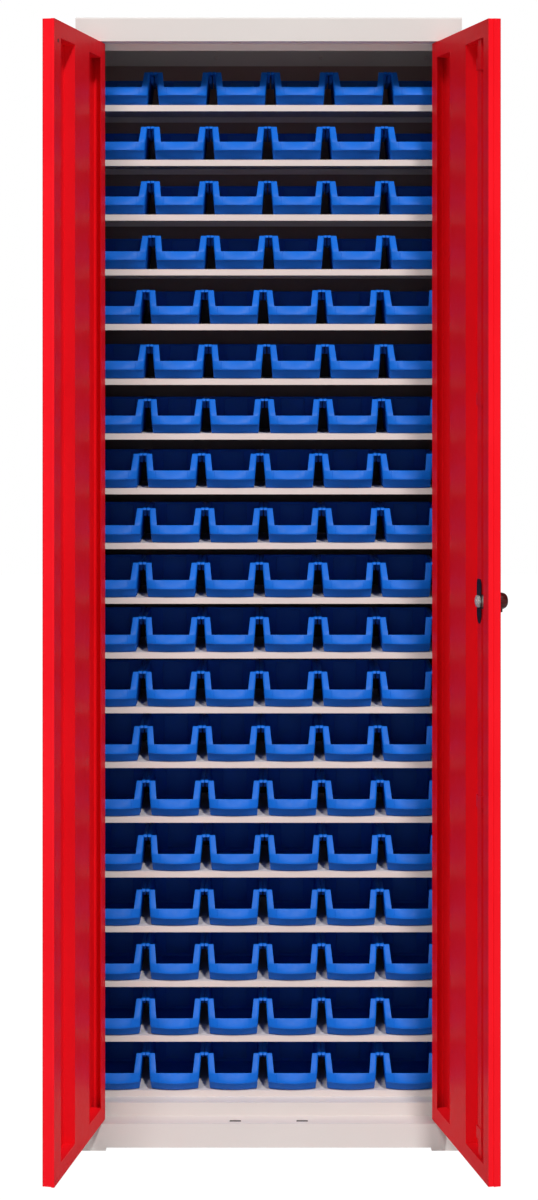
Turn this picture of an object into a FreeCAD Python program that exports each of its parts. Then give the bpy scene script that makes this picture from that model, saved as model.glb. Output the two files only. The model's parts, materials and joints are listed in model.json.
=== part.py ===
import FreeCAD
import Part
import math
import os

# A tall steel cabinet for small parts: a folded sheet carcass, nineteen shelves, six
# moulded bins on each shelf, and two inset doors that hang on pivot pins, one of them
# with a two-point rod lock. Millimetres, +Z up. The origin is on the floor at the centre
# of the carcass, and the front faces -Y. Each section is written as a path along the
# outer side of the sheet, with the sheet on the left of the path.

Vector = FreeCAD.Vector

# Carcass
WIDTH = 680.0
DEPTH = 285.0
HEIGHT = 1994.0
SHEET = 1.0
BEND = 1.5                  # inside radius of the folds that show
POST_WIDTH = 23.3           # front face of a side panel
JAMB_DEPTH = 40.0           # door jamb, soffit and ledge
JAMB_HEM = 11.0
REAR_FLANGE = 12.0
FASCIA_HEIGHT = 42.0
STOP_LIP = 11.5
ROOF_FLANGE = 50.0
FIT = 0.1                   # between folded pieces that slip into each other

# Base
RUNNER_HEIGHT = 5.5
RUNNER_WIDTH = 30.0
CROSS_BAR_SETBACK = 20.0
PLINTH_HEIGHT = 42.0
RISER_HEIGHT = 23.1
BASE_HEM = 22.0

# Shelves and the rails that carry them
SHELF_COUNT = 19
TOP_BAY = 115.6             # from the top shelf's seat on its rails to the soffit
SHELF_SETBACK = 71.0
SHELF_DEPTH = 204.0
SHELF_LIP = 11.0
SHELF_END_GAP = 1.0
RAIL_ARM = 10.0
RAIL_DROP = 12.0
RAIL_INSET = 25.0

# Bins
BINS_ACROSS = 6
ROW_PLAY = 45.6             # between a row of bins and the side panels, both sides together
BIN_GAP = 0.4               # between the rims of neighbours
BIN_SEAT = 0.3              # between a bin and its shelf
BIN_WALL = 1.8
BIN_FLOOR = 2.0
BIN_HEIGHT = 61.3
RIM_OVERHANG = 5.2
BIN_TAPER = 5.1             # of each side, over the bin's height
BIN_BASE_BACK = 150.0       # distances behind the shelf's front edge
BIN_TOP_BACK = 153.4
RIM_BACK = 158.0
RIM_HEIGHT = 4.3
RIM_FRONT = 18.0
TOE_EDGE = 5.0
NOSE_FROM_SIDE = 20.2
FRONT_WALL = 2.5
GRIP_TOP = 31.7
GRIP_BOTTOM = 15.6
GRIP_EDGE = -4.0
GRIP_CORNER = -5.0
GRIP_NOSE = -14.0
EAR_THICKNESS = 2.5
EAR_TOP = 11.0              # width of a side's raked front edge
EAR_BOTTOM = 12.1
# Each row of bins stands a little off centre, as it was set down by hand.
ROW_SHIFT = (3.4, -2.2, -2.0, 0.0, -10.1, -3.6, -7.7, -15.7, -9.5, -16.8,
             -16.8, -16.9, -14.4, -10.1, -7.6, -10.6, -10.6, -10.6, -10.6)

# Doors
DOOR_THICKNESS = 21.0
HINGE_GAP = 4.0
CENTRE_GAP = 1.4
DOOR_END_GAP = 2.5
DOOR_BEND = 1.0
DOOR_LIP = 27.0
LEFT_FREE_LIP = 37.0
STIFFENER_START = 103.0
STIFFENER_WIDTH = 88.0
STIFFENER_FOOT = 12.0
EDGE_STEP = 2.0             # the free edges are rebated into each other
LEFT_STEP_DEPTH = 15.7
RIGHT_STEP_DEPTH = 12.2
LEFT_OPEN = 100.9
RIGHT_OPEN = 102.7

# Pivot pins
PIVOT_INSET = 10.0
PIVOT_DEPTH = 9.0
PIN_RADIUS = 4.0
PIN_CLEARANCE = 0.08
PIN_REACH = 12.0
SPACER_SIZE = 14.0
SPACER_GAP = 0.3

# Lock. Depths are measured inwards from the outer face of the door.
LOCK_HEIGHT = 995.0
LOCK_FROM_CENTRE = 59.0
SPINDLE_RADIUS = 5.0
SPINDLE_CLEARANCE = 0.08
SPINDLE_SQUARE = 7.0
BARREL_RADIUS = 10.0
BARREL_CLEARANCE = 0.1
ROSETTE_RADIUS = 15.5
ROSETTE_THICKNESS = 3.0
RUNNING_GAP = 0.3
KNOB_FLATS = 12
KNOB_RADIUS = 15.5
KNOB_SHOULDER = 26.0
KNOB_END = 34.0
KNOB_END_RADIUS = 9.0
WING_WIDTH = 6.0
WING_DROP = 5.0
CAM_MARGIN = 8.0            # plate beyond the pins
CAM_THICKNESS = 2.5
CAM_DEPTH = 5.5
NUT_ACROSS_FLATS = 19.0
NUT_END = 24.4
LOCK_TURN = 90.0
ROD_TRAVEL = 14.0
ROD_WIDTH = 16.0
ROD_THICKNESS = 4.0
ROD_DEPTH = 13.0
ROD_TIP_SETBACK = 1.5
ROD_TIP_BEVEL = 3.0
ROD_HEEL = 5.0              # rod beyond its pin, towards the spindle
PIN_ORBIT = 17.0            # pin to spindle with the rods drawn in
ROD_PIN_RADIUS = 2.5
SLOT_CLEARANCE = 0.3
SLOT_OVERRUN = 10.0         # degrees of slot past each end of the turn
GUIDE_WIDTH = 24.0
GUIDE_HEIGHT = 20.0
GUIDE_DEPTH = 19.0
GUIDE_PLACES = (0.35, 0.93)  # along the way from the lock to the end of the door
KEEPER_WIDTH = 20.0
KEEPER_DEPTH = 8.0

# Places that several pieces share
FRONT = -DEPTH / 2
REAR = DEPTH / 2
OPENING_HALF = WIDTH / 2 - POST_WIDTH
WALL_INSIDE = WIDTH / 2 - SHEET
REAR_SEAT = REAR - SHEET
JAMB_BACK = FRONT + JAMB_DEPTH
SOFFIT = HEIGHT - FASCIA_HEIGHT
LEDGE = RUNNER_HEIGHT + PLINTH_HEIGHT
PAN_TOP = LEDGE + RISER_HEIGHT
SHELF_PITCH = (SOFFIT - PAN_TOP - TOP_BAY) / (SHELF_COUNT - 1)
BIN_PITCH = (2 * WALL_INSIDE - ROW_PLAY) / BINS_ACROSS
BIN_TOP_WIDTH = BIN_PITCH - BIN_GAP - 2 * RIM_OVERHANG
BIN_BASE_WIDTH = BIN_TOP_WIDTH - 2 * BIN_TAPER
SHELF_FRONT = FRONT + SHELF_SETBACK
SHELF_BACK = SHELF_FRONT + SHELF_DEPTH
BASE_HALF = OPENING_HALF - FIT
DOOR_BOTTOM = LEDGE + DOOR_END_GAP
DOOR_TOP = SOFFIT - DOOR_END_GAP
HINGE_EDGE = OPENING_HALF - HINGE_GAP
DOOR_WIDTH = HINGE_EDGE - CENTRE_GAP / 2
PIVOT_X = HINGE_EDGE - PIVOT_INSET
PIVOT_Y = FRONT + PIVOT_DEPTH
PIN_HOLE = PIN_RADIUS + PIN_CLEARANCE
ROD_MIDDLE = FRONT + ROD_DEPTH + ROD_THICKNESS / 2


def box(x, y, z):
    """A block between two values on each axis."""
    low = Vector(min(x), min(y), min(z))
    return Part.makeBox(abs(x[1] - x[0]), abs(y[1] - y[0]), abs(z[1] - z[0]), low)


def both_sides(shape):
    """A piece and its mirror image on the other side of the cabinet."""
    return [shape, shape.mirror(Vector(), Vector(1, 0, 0))]


def moved_left(points, distance, closed):
    """The path moved to its left, with mitred corners."""
    moved = []
    for i, here in enumerate(points):
        sides = []
        if closed or i > 0:
            sides.append(here - points[i - 1])
        if closed or i < len(points) - 1:
            sides.append(points[(i + 1) % len(points)] - here)
        normals = [Vector(-side.y, side.x, 0).normalize() for side in sides]
        mitre = normals[0] + normals[-1]
        moved.append(here + mitre * (2 * distance / mitre.dot(mitre)))
    return moved


def rounded(points, radii):
    """A closed wire through the points, with each corner rounded by its radius."""
    edges = []
    ends = []
    for i, corner in enumerate(points):
        if radii[i] == 0:
            ends.append((corner, corner))
            continue
        back = (points[i - 1] - corner).normalize()
        ahead = (points[(i + 1) % len(points)] - corner).normalize()
        half_angle = back.getAngle(ahead) / 2
        reach = radii[i] / math.tan(half_angle)
        inward = (back + ahead).normalize()
        middle = corner + inward * (radii[i] / math.sin(half_angle) - radii[i])
        start = corner + back * reach
        end = corner + ahead * reach
        edges.append(Part.Arc(start, middle, end).toShape())
        ends.append((start, end))
    for i in range(len(points)):
        start = ends[i - 1][1]
        end = ends[i][0]
        edges.append(Part.LineSegment(start, end).toShape())
    return Part.Wire(Part.__sortEdges__(edges))


def folded(path, bends):
    """The section of a folded sheet. A bend of 0 leaves that corner sharp."""
    points = [Vector(x, y, 0) for x, y in path]
    inside = moved_left(points, SHEET, False)
    near = [0.0]
    far = [0.0]
    for i, bend in enumerate(bends, start=1):
        along = points[i] - points[i - 1]
        onward = points[i + 1] - points[i]
        turns_left = along.cross(onward).z > 0
        outer = bend + SHEET if bend else 0.0
        near.append(outer if turns_left else bend)
        far.append(bend if turns_left else outer)
    near.append(0.0)
    far.append(0.0)
    return Part.Face(rounded(points + inside[::-1], near + far[::-1]))


def across(section, half_width):
    """A section drawn as (y, z), run from side to side of the cabinet."""
    upright = section.rotated(Vector(), Vector(1, 1, 1), 120)
    upright.translate(Vector(-half_width, 0, 0))
    return upright.extrude(Vector(2 * half_width, 0, 0))


# ---- carcass ----

def side_panel():
    """The left side: wall, post, door jamb and rear flange in one fold."""
    wall = -WIDTH / 2
    jamb = -OPENING_HALF
    section = folded([(wall + REAR_FLANGE, REAR_SEAT),
                      (wall, REAR_SEAT),
                      (wall, FRONT),
                      (jamb, FRONT),
                      (jamb, JAMB_BACK),
                      (jamb - JAMB_HEM, JAMB_BACK)],
                     [0, BEND, 0, 0])
    panel = section.extrude(Vector(0, 0, HEIGHT - SHEET))
    fascia_room = box((wall, jamb), (FRONT, FRONT + SHEET + BEND), (SOFFIT, HEIGHT))
    post_room = box((wall + SHEET, jamb), (FRONT, JAMB_BACK), (SOFFIT, HEIGHT))
    return panel.cut([fascia_room, post_room])


def keepers(level):
    """Blocks that cut the two slots for the lock rods at a level."""
    y = (ROD_MIDDLE - KEEPER_DEPTH / 2, ROD_MIDDLE + KEEPER_DEPTH / 2)
    x = (LOCK_FROM_CENTRE - KEEPER_WIDTH / 2, LOCK_FROM_CENTRE + KEEPER_WIDTH / 2)
    return both_sides(box(x, y, level))


def top_panel():
    """Roof, fascia, soffit and door stop in one fold."""
    section = folded([(REAR_SEAT, HEIGHT - ROOF_FLANGE),
                      (REAR_SEAT, HEIGHT),
                      (FRONT, HEIGHT),
                      (FRONT, SOFFIT),
                      (JAMB_BACK, SOFFIT),
                      (JAMB_BACK, SOFFIT - STOP_LIP)],
                     [0, BEND, 0, 0])
    panel = across(section, WIDTH / 2)
    under_roof = HEIGHT - SHEET
    rooms = keepers((SOFFIT, SOFFIT + SHEET))
    rooms += both_sides(box((WALL_INSIDE, WIDTH / 2),
                            (FRONT + SHEET + BEND, REAR),
                            (SOFFIT - STOP_LIP, under_roof)))
    rooms += both_sides(box((WIDTH / 2 - REAR_FLANGE - FIT, WIDTH / 2),
                            (REAR_SEAT - SHEET, REAR),
                            (HEIGHT - ROOF_FLANGE, under_roof)))
    rooms += both_sides(box((BASE_HALF, WIDTH / 2),
                            (JAMB_BACK, JAMB_BACK + SHEET),
                            (SOFFIT - STOP_LIP, SOFFIT)))
    return panel.cut(rooms)


def base_pan():
    """Plinth, ledge, riser, floor and rear skirt in one fold, with a wider floor."""
    section = folded([(REAR_SEAT - BASE_HEM, RUNNER_HEIGHT),
                      (REAR_SEAT, RUNNER_HEIGHT),
                      (REAR_SEAT, PAN_TOP),
                      (JAMB_BACK, PAN_TOP),
                      (JAMB_BACK, LEDGE),
                      (FRONT, LEDGE),
                      (FRONT, RUNNER_HEIGHT),
                      (FRONT + BASE_HEM, RUNNER_HEIGHT)],
                     [0] * 6)
    pan = across(section, BASE_HALF)
    floor = box((-WALL_INSIDE, WALL_INSIDE),
                (JAMB_BACK + SHEET, REAR_SEAT - SHEET),
                (PAN_TOP - SHEET, PAN_TOP))
    return pan.fuse(floor).removeSplitter().cut(keepers((LEDGE - SHEET, LEDGE)))


def base_frame():
    """The ring that the cabinet stands on. Its runners show under the plinth."""
    rear = REAR_SEAT - SHEET
    ring = box((-BASE_HALF, BASE_HALF), (FRONT, rear), (0, RUNNER_HEIGHT))
    inner_half = BASE_HALF - RUNNER_WIDTH
    bar_front = FRONT + CROSS_BAR_SETBACK
    toe = box((-inner_half, inner_half), (FRONT, bar_front), (0, RUNNER_HEIGHT))
    middle = box((-inner_half, inner_half),
                 (bar_front + RUNNER_WIDTH, rear - RUNNER_WIDTH),
                 (0, RUNNER_HEIGHT))
    return ring.cut([toe, middle])


def shelf_bottom(row):
    """Underside of a shelf's lip. Row 0 is at the top and the last one on the floor pan."""
    return PAN_TOP + (SHELF_COUNT - 1 - row) * SHELF_PITCH


def shelf(row):
    low = shelf_bottom(row)
    top = low + SHELF_LIP
    section = folded([(SHELF_BACK, low),
                      (SHELF_BACK, top),
                      (SHELF_FRONT, top),
                      (SHELF_FRONT, low)],
                     [0, 0])
    return across(section, WALL_INSIDE - SHELF_END_GAP)


def shelf_rails():
    """Gusset rails on both walls, one under each end of every shelf above the pan."""
    rails = []
    front = SHELF_FRONT + RAIL_INSET
    for row in range(SHELF_COUNT - 1):
        seat = shelf_bottom(row) + SHELF_LIP - SHEET
        corners = [Vector(WALL_INSIDE, front, seat),
                   Vector(WALL_INSIDE, front, seat - RAIL_DROP),
                   Vector(WALL_INSIDE - RAIL_ARM, front, seat),
                   Vector(WALL_INSIDE, front, seat)]
        gusset = Part.Face(Part.makePolygon(corners))
        rails += both_sides(gusset.extrude(Vector(0, SHELF_DEPTH - 2 * RAIL_INSET, 0)))
    return rails


# ---- bins ----

def bin_section(height, half_width, back, corner, nose):
    """A level outline of a bin: straight back and sides, and a three-sided front."""
    nose_half = BIN_BASE_WIDTH / 2 - NOSE_FROM_SIDE if nose != corner else half_width
    return [Vector(half_width, back, height),
            Vector(-half_width, back, height),
            Vector(-half_width, corner, height),
            Vector(-nose_half, nose, height),
            Vector(nose_half, nose, height),
            Vector(half_width, corner, height)]


def distinct(points):
    """The points without any that coincide with an earlier one."""
    kept = []
    for point in points:
        if all(point.distanceToPoint(other) > 1e-6 for other in kept):
            kept.append(point)
    return kept


def flat_face(points):
    return Part.Face(Part.makePolygon(points + points[:1]))


def facets(corners):
    """One flat face on three or four corners, or two that meet at the foremost corner."""
    corners = distinct(corners)
    if len(corners) < 3:
        return []
    foremost = min(range(len(corners)), key=lambda i: corners[i].y)
    a, b, c, *rest = corners[foremost:] + corners[:foremost]
    if rest and abs((b - a).cross(c - a).dot(rest[0] - a)) > 1e-6:
        return [flat_face([a, b, c]), flat_face([a, c, rest[0]])]
    return [flat_face([a, b, c] + rest)]


def layer(lower, upper):
    """The solid between two flat outlines with as many points, with flat sides."""
    faces = [flat_face(distinct(lower)), flat_face(distinct(upper))]
    for i in range(len(lower)):
        j = (i + 1) % len(lower)
        faces += facets([lower[i], lower[j], upper[j], upper[i]])
    return Part.makeSolid(Part.makeShell(faces))


def between(height, low, high):
    """A size that runs evenly from the bottom of a bin to its top."""
    return low + (high - low) * height / BIN_HEIGHT


def body_section(height, corner, nose, inset=0.0):
    half_width = between(height, BIN_BASE_WIDTH, BIN_TOP_WIDTH) / 2 - inset
    back = between(height, BIN_BASE_BACK, BIN_TOP_BACK) - inset
    return bin_section(height, half_width, back, corner, nose)


def ear_front(height):
    """Front of the raked side edges, from the grip up to the rim."""
    rake = (RIM_FRONT - GRIP_EDGE) / (BIN_HEIGHT - GRIP_TOP)
    return GRIP_EDGE + (height - GRIP_TOP) * rake


def open_bin():
    """One bin, with its base at height 0 and the shelf's front edge at y = 0."""
    rim_half = (BIN_PITCH - BIN_GAP) / 2
    rim_bottom = BIN_HEIGHT - RIM_HEIGHT
    foot = layer(body_section(0, TOE_EDGE, TOE_EDGE),
                 body_section(GRIP_BOTTOM, GRIP_CORNER, GRIP_NOSE))
    grip = layer(body_section(GRIP_BOTTOM, GRIP_CORNER, GRIP_NOSE),
                 body_section(GRIP_TOP, GRIP_EDGE, GRIP_EDGE))
    sides = layer(body_section(GRIP_TOP, GRIP_EDGE, GRIP_EDGE),
                  body_section(BIN_HEIGHT, RIM_FRONT, RIM_FRONT))
    rim = layer(bin_section(rim_bottom, rim_half, RIM_BACK, ear_front(rim_bottom),
                            ear_front(rim_bottom)),
                bin_section(BIN_HEIGHT, rim_half, RIM_BACK, RIM_FRONT, RIM_FRONT))
    solid = foot.fuse([grip, sides, rim]).removeSplitter()
    behind_toe = TOE_EDGE + FRONT_WALL
    behind_ear = GRIP_EDGE + EAR_THICKNESS
    hollow_low = layer(body_section(BIN_FLOOR, behind_toe, behind_toe, BIN_WALL),
                       body_section(GRIP_BOTTOM, GRIP_CORNER + FRONT_WALL,
                                    GRIP_NOSE + FRONT_WALL, BIN_WALL))
    hollow_middle = layer(body_section(GRIP_BOTTOM, GRIP_CORNER + FRONT_WALL,
                                       GRIP_NOSE + FRONT_WALL, BIN_WALL),
                          body_section(GRIP_TOP, behind_ear, behind_ear, BIN_WALL))
    hollow_high = layer(body_section(GRIP_TOP, behind_ear, behind_ear, BIN_WALL),
                        body_section(BIN_HEIGHT, RIM_FRONT + EAR_THICKNESS,
                                     RIM_FRONT + EAR_THICKNESS, BIN_WALL))
    mouth_low = between(GRIP_TOP, BIN_BASE_WIDTH, BIN_TOP_WIDTH) / 2 - EAR_BOTTOM
    mouth_high = BIN_TOP_WIDTH / 2 - EAR_TOP
    mouth = Part.Face(Part.makePolygon([Vector(x, -BIN_HEIGHT, z) for x, z in (
        (-mouth_low, GRIP_TOP),
        (mouth_low, GRIP_TOP),
        (mouth_high, BIN_HEIGHT),
        (-mouth_high, BIN_HEIGHT),
        (-mouth_low, GRIP_TOP))]))
    mouth = mouth.extrude(Vector(0, BIN_HEIGHT + RIM_FRONT + 2 * EAR_THICKNESS, 0))
    hollow = hollow_low.fuse([hollow_middle, hollow_high, mouth])
    return solid.cut(hollow).removeSplitter().Solids[0]


def bin_places(row):
    """Where the six bins of a row stand, from left to right."""
    seat = shelf_bottom(row) + SHELF_LIP + BIN_SEAT
    first = ROW_SHIFT[row] - BIN_PITCH * (BINS_ACROSS - 1) / 2
    return [Vector(first + i * BIN_PITCH, SHELF_FRONT, seat) for i in range(BINS_ACROSS)]


# ---- doors, drawn closed from the hinge edge at x = 0 and the outer face at y = 0 ----

def door_panel(free_outer, free_inner, step_depth, free_lip):
    """A pan with returned lips all round, open over its pockets and its stiffener."""
    outline = [Vector(0, DOOR_THICKNESS, 0),
               Vector(0, 0, 0),
               Vector(free_outer, 0, 0),
               Vector(free_outer, step_depth, 0),
               Vector(free_inner, step_depth, 0),
               Vector(free_inner, DOOR_THICKNESS, 0)]
    corner = DOOR_BEND + SHEET
    outer = Part.Face(rounded(outline, [0, corner, corner, 0, 0, 0]))
    inner = Part.Face(rounded(moved_left(outline, SHEET, True), [0] * 6))
    tall = DOOR_TOP - DOOR_BOTTOM
    pan = outer.extrude(Vector(0, 0, tall))
    hollow = inner.extrude(Vector(0, 0, tall - 2 * SHEET))
    hollow.translate(Vector(0, 0, SHEET))
    through_lip = (DOOR_THICKNESS - SHEET, DOOR_THICKNESS)
    window = box((DOOR_LIP, DOOR_WIDTH - free_lip), through_lip, (DOOR_LIP, tall - DOOR_LIP))
    bay = box((STIFFENER_START, STIFFENER_START + STIFFENER_WIDTH), through_lip,
              (SHEET, tall - SHEET))
    bore = Part.makeCylinder(PIN_HOLE, tall, Vector(PIVOT_INSET, PIVOT_DEPTH, 0))
    return pan.cut([hollow, window, bay, bore])


def door_stiffener():
    """A channel on the skin, flush with the lips and as tall as the pan inside."""
    low = STIFFENER_START
    high = STIFFENER_START + STIFFENER_WIDTH
    section = folded([(high - STIFFENER_FOOT, SHEET),
                      (high, SHEET),
                      (high, DOOR_THICKNESS),
                      (low, DOOR_THICKNESS),
                      (low, SHEET),
                      (low + STIFFENER_FOOT, SHEET)],
                     [0] * 4)
    channel = section.extrude(Vector(0, 0, DOOR_TOP - DOOR_BOTTOM - 2 * SHEET))
    return channel.translated(Vector(0, 0, SHEET))


def hung_left(shape):
    """A piece of the left door in its closed place."""
    return shape.translated(Vector(-HINGE_EDGE, FRONT, DOOR_BOTTOM))


def open_left(shape):
    return shape.rotated(Vector(-PIVOT_X, PIVOT_Y, 0), Vector(0, 0, 1), -LEFT_OPEN)


def open_right(shape):
    return shape.rotated(Vector(PIVOT_X, PIVOT_Y, 0), Vector(0, 0, 1), RIGHT_OPEN)


def pivot_pin(seat, direction):
    """A pin fixed at the seat and pointing into the door."""
    return Part.makeCylinder(PIN_RADIUS, DOOR_END_GAP + PIN_REACH,
                             Vector(PIVOT_X, PIVOT_Y, seat), Vector(0, 0, direction))


def lower_pivot():
    """The pin that a door stands on, with its square spacer plate."""
    half = SPACER_SIZE / 2
    spacer = box((PIVOT_X - half, PIVOT_X + half), (PIVOT_Y - half, PIVOT_Y + half),
                 (LEDGE, DOOR_BOTTOM - SPACER_GAP))
    return pivot_pin(LEDGE, 1).fuse(spacer).removeSplitter()


# ---- lock, drawn on the closed right door ----

def turned(profile):
    """A piece turned about the lock's axis from (radius, depth) points."""
    points = [Vector(LOCK_FROM_CENTRE + radius, FRONT + depth, LOCK_HEIGHT)
              for radius, depth in profile]
    face = Part.Face(Part.makePolygon(points + points[:1]))
    return face.revolve(Vector(LOCK_FROM_CENTRE, 0, LOCK_HEIGHT), Vector(0, 1, 0), 360)


def lock_plate(points, depth, thickness):
    """A plate square to the lock's axis, from (x, z) points about it."""
    corners = [Vector(LOCK_FROM_CENTRE + x, FRONT + depth, LOCK_HEIGHT + z) for x, z in points]
    face = Part.Face(Part.makePolygon(corners + corners[:1]))
    return face.extrude(Vector(0, thickness, 0))


def lock_housing():
    bore = SPINDLE_RADIUS + SPINDLE_CLEARANCE
    return turned([(bore, -ROSETTE_THICKNESS),
                   (ROSETTE_RADIUS, -ROSETTE_THICKNESS),
                   (ROSETTE_RADIUS, 0),
                   (BARREL_RADIUS, 0),
                   (BARREL_RADIUS, CAM_DEPTH - RUNNING_GAP),
                   (bore, CAM_DEPTH - RUNNING_GAP)])


def knob_ring(radius, depth):
    """A level ring of the knob's flats."""
    ring = []
    for i in range(KNOB_FLATS):
        angle = 2 * math.pi * (i + 0.5) / KNOB_FLATS
        ring.append(Vector(LOCK_FROM_CENTRE + radius * math.cos(angle), FRONT + depth,
                           LOCK_HEIGHT + radius * math.sin(angle)))
    return ring


def lock_handle():
    """A knob with flats and a pointer wing, on the spindle that carries the cam."""
    back = -ROSETTE_THICKNESS - RUNNING_GAP
    grip = layer(knob_ring(KNOB_RADIUS, back), knob_ring(KNOB_RADIUS, -KNOB_SHOULDER))
    crown = layer(knob_ring(KNOB_RADIUS, -KNOB_SHOULDER), knob_ring(KNOB_END_RADIUS, -KNOB_END))
    spindle = turned([(0, back),
                      (SPINDLE_RADIUS, back),
                      (SPINDLE_RADIUS, CAM_DEPTH - RUNNING_GAP),
                      (0, CAM_DEPTH - RUNNING_GAP)])
    tail = lock_square(SPINDLE_SQUARE, CAM_DEPTH - RUNNING_GAP, CAM_DEPTH + CAM_THICKNESS)
    wing = box((LOCK_FROM_CENTRE - WING_WIDTH / 2, LOCK_FROM_CENTRE + WING_WIDTH / 2),
               (FRONT - KNOB_SHOULDER, FRONT + back),
               (LOCK_HEIGHT - KNOB_RADIUS - WING_DROP, LOCK_HEIGHT - KNOB_RADIUS / 2))
    return grip.fuse([crown, spindle, tail, wing]).removeSplitter().Solids[0]


def lock_square(size, start, end):
    """A square bar on the lock's axis between two depths."""
    half = size / 2
    return box((LOCK_FROM_CENTRE - half, LOCK_FROM_CENTRE + half),
               (FRONT + start, FRONT + end),
               (LOCK_HEIGHT - half, LOCK_HEIGHT + half))


def slot_point(start_angle, turn, side):
    """A point on one flank of a slot whose radius grows evenly with the angle."""
    radius = PIN_ORBIT + ROD_TRAVEL * turn / LOCK_TURN
    angle = math.radians(start_angle + turn)
    outward = Vector(math.cos(angle), 0, math.sin(angle))
    onward = Vector(-outward.z, 0, outward.x)
    growth = ROD_TRAVEL / math.radians(LOCK_TURN)
    heading = (outward * growth + onward * radius).normalize()
    flank = Vector(heading.z, 0, -heading.x) * (side * (ROD_PIN_RADIUS + SLOT_CLEARANCE))
    centre = Vector(LOCK_FROM_CENTRE, FRONT + CAM_DEPTH, LOCK_HEIGHT)
    return centre + outward * radius + flank


def cam_slot(start_angle):
    """A spiral slot, two arcs to a flank, that moves its pin in step with the turn."""
    turns = [-SLOT_OVERRUN + (LOCK_TURN + 2 * SLOT_OVERRUN) * i / 4 for i in range(5)]
    edges = []
    for side in (-1, 1):
        flank = [slot_point(start_angle, turn, side) for turn in turns]
        edges.append(Part.Arc(*flank[:3]).toShape())
        edges.append(Part.Arc(*flank[2:]).toShape())
    for turn in (turns[0], turns[-1]):
        edges.append(Part.LineSegment(slot_point(start_angle, turn, -1),
                                      slot_point(start_angle, turn, 1)).toShape())
    face = Part.Face(Part.Wire(Part.__sortEdges__(edges)))
    return face.extrude(Vector(0, CAM_THICKNESS, 0))


def lock_cam():
    """A two-armed plate with a spiral slot in each arm."""
    reach = PIN_ORBIT + ROD_TRAVEL + CAM_MARGIN
    arm = ((72, PIN_ORBIT + CAM_MARGIN), (125, reach), (163, reach), (195, reach))
    corners = []
    for half_turn in (0, 180):
        for degrees, radius in arm:
            angle = math.radians(degrees + half_turn)
            corners.append((radius * math.cos(angle), radius * math.sin(angle)))
    plate = lock_plate(corners, CAM_DEPTH, CAM_THICKNESS)
    hole = lock_square(SPINDLE_SQUARE + FIT, CAM_DEPTH, CAM_DEPTH + CAM_THICKNESS)
    return plate.cut([cam_slot(90), cam_slot(270), hole])


def lock_nut():
    """A long cap nut that holds the cam on the spindle."""
    reach = NUT_ACROSS_FLATS / 2 / math.cos(math.pi / 6)
    corners = [(reach * math.cos(math.pi / 3 * i), reach * math.sin(math.pi / 3 * i))
               for i in range(6)]
    seat = CAM_DEPTH + CAM_THICKNESS
    return lock_plate(corners, seat, NUT_END - seat)


def lock_rod(end, direction):
    """A flat bar from the cam to the end of the door, with the pin that rides in its slot."""
    half = ROD_WIDTH / 2
    heel = direction * (PIN_ORBIT - ROD_HEEL)
    tip = end - direction * ROD_TIP_SETBACK - LOCK_HEIGHT
    shoulder = tip - direction * ROD_TIP_BEVEL
    bar = lock_plate([(-half, heel),
                      (half, heel),
                      (half, shoulder),
                      (half - ROD_TIP_BEVEL, tip),
                      (-half + ROD_TIP_BEVEL, tip),
                      (-half, shoulder)],
                     ROD_DEPTH, ROD_THICKNESS)
    place = Vector(LOCK_FROM_CENTRE, FRONT + CAM_DEPTH, LOCK_HEIGHT + direction * PIN_ORBIT)
    pin = Part.makeCylinder(ROD_PIN_RADIUS, ROD_DEPTH - CAM_DEPTH, place, Vector(0, 1, 0))
    return bar.fuse(pin).removeSplitter()


def rod_guides():
    """Blocks on the skin that the rods slide through."""
    half = GUIDE_WIDTH / 2
    hole_half = ROD_WIDTH / 2 + RUNNING_GAP
    x = (LOCK_FROM_CENTRE - half, LOCK_FROM_CENTRE + half)
    hole_x = (LOCK_FROM_CENTRE - hole_half, LOCK_FROM_CENTRE + hole_half)
    hole_y = (FRONT + ROD_DEPTH - RUNNING_GAP,
              FRONT + ROD_DEPTH + ROD_THICKNESS + RUNNING_GAP)
    guides = []
    for end in (DOOR_TOP, DOOR_BOTTOM):
        for place in GUIDE_PLACES:
            middle = LOCK_HEIGHT + (end - LOCK_HEIGHT) * place
            z = (middle - GUIDE_HEIGHT / 2, middle + GUIDE_HEIGHT / 2)
            block = box(x, (FRONT + SHEET, FRONT + GUIDE_DEPTH), z)
            guides.append(block.cut(box(hole_x, hole_y, z)))
    return guides


def lock_rooms():
    """What the lock needs cut out of its door: the barrel's hole and the rods' ways out."""
    barrel = Part.makeCylinder(BARREL_RADIUS + BARREL_CLEARANCE, SHEET,
                               Vector(LOCK_FROM_CENTRE, FRONT, LOCK_HEIGHT), Vector(0, 1, 0))
    half = ROD_WIDTH / 2 + SLOT_CLEARANCE
    x = (LOCK_FROM_CENTRE - half, LOCK_FROM_CENTRE + half)
    y = (FRONT + ROD_DEPTH - SLOT_CLEARANCE,
         FRONT + ROD_DEPTH + ROD_THICKNESS + SLOT_CLEARANCE)
    return [barrel, box(x, y, (DOOR_TOP - SHEET, DOOR_TOP)),
            box(x, y, (DOOR_BOTTOM, DOOR_BOTTOM + SHEET))]


# ---- all the pieces ----

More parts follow.
